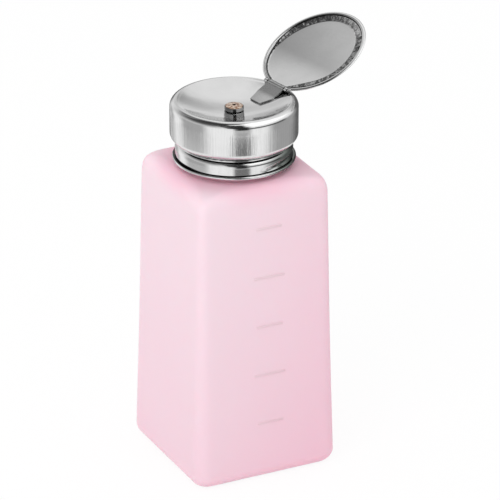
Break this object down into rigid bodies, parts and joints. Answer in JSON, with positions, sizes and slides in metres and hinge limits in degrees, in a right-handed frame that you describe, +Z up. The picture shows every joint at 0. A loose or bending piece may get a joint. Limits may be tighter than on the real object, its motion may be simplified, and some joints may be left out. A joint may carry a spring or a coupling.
{
  "type": "nail polish remover pump",
  "caption": "Square tapered bottle with a screw-on push-down pump: a steel dish with a central nozzle and a hinged round lid, shown open.",
  "frame": {"origin": "middle of the bottle's base, on the pump's axis, at the surface it stands on", "axes": "+Z up the pump's axis; the bottle's four walls face +X, -X, +Y and -Y; the lid opens towards +X, turned 10.8 degrees towards +Y"},
  "size_m": [0.0794, 0.0554, 0.1545],
  "materials": {
    "bottle_plastic": "satin pink moulded polyethylene, a little translucent",
    "steel": "lightly brushed stainless steel",
    "spring_steel": "drawn stainless steel",
    "brass": "polished brass",
    "natural_plastic": "natural solvent-proof plastic",
    "seal_rubber": "smooth black elastomer",
    "tube_plastic": "clear extruded tube"
  },
  "bodies": {
    "bottle": {"bottle": "bottle_plastic"},
    "gasket": {"sealing_gasket": "seal_rubber"},
    "pump_body": {"pump_barrel": "natural_plastic", "guide_bush": "natural_plastic", "foot_valve": "natural_plastic", "valve_cage": "spring_steel", "dip_tube": "tube_plastic", "return_spring": "spring_steel"},
    "collar": {"screw_collar": "steel"},
    "thrust_washer": {"spring_seat": "spring_steel"},
    "head": {"press_cap": "steel", "plunger_stem": "steel", "dish_washer": "natural_plastic", "clamp_nut": "steel", "piston_head": "natural_plastic", "piston_seal": "seal_rubber", "outlet_spring": "spring_steel", "nozzle_ring": "steel", "nozzle_insert": "brass", "hinge_bracket": "steel", "hinge_pin": "spring_steel"},
    "lid": {"lid": "steel"},
    "inlet_valve_ball": {"inlet_ball": "spring_steel"},
    "outlet_valve_ball": {"outlet_ball": "spring_steel"}
  },
  "joints": [
    {"name": "lift_off", "type": "slide", "parent": "bottle", "child": "gasket", "axis": [0, 0, 1], "range_m": [0, 0.125]},
    {"name": "thread_rise", "type": "slide", "parent": "gasket", "child": "pump_body", "axis": [0, 0, 1], "range_m": [0, 0.0064]},
    {"name": "collar_turn", "type": "hinge", "parent": "pump_body", "child": "collar", "pos_m": [0, 0, 0.119], "axis": [0, 0, 1], "range_deg": [0, 540]},
    {"name": "press", "type": "slide", "parent": "pump_body", "child": "thrust_washer", "axis": [0, 0, -1], "range_m": [0, 0.005], "stiffness_N_per_m": 500, "springref_m": -0.008, "deforming": ["return_spring"]},
    {"name": "head_turn", "type": "hinge", "parent": "thrust_washer", "child": "head", "pos_m": [0, 0, 0.1123], "axis": [0, 0, 1], "continuous": true},
    {"name": "lid_close", "type": "hinge", "parent": "head", "child": "lid", "pos_m": [0.01837, 0.0035, 0.13607], "axis": [-0.1874, 0.9823, 0], "range_deg": [-152.4, 0]},
    {"name": "inlet_lift", "type": "slide", "parent": "pump_body", "child": "inlet_valve_ball", "axis": [0, 0, 1], "range_m": [0, 0.0012]},
    {"name": "outlet_lift", "type": "slide", "parent": "head", "child": "outlet_valve_ball", "axis": [0, 0, 1], "range_m": [0, 0.0008], "stiffness_N_per_m": 30, "springref_m": -0.001, "deforming": ["outlet_spring"]}
  ],
  "couplings": [
    {"joint": "thread_rise", "follows": "collar_turn", "m_per_rad": 0.00067376}
  ]
}
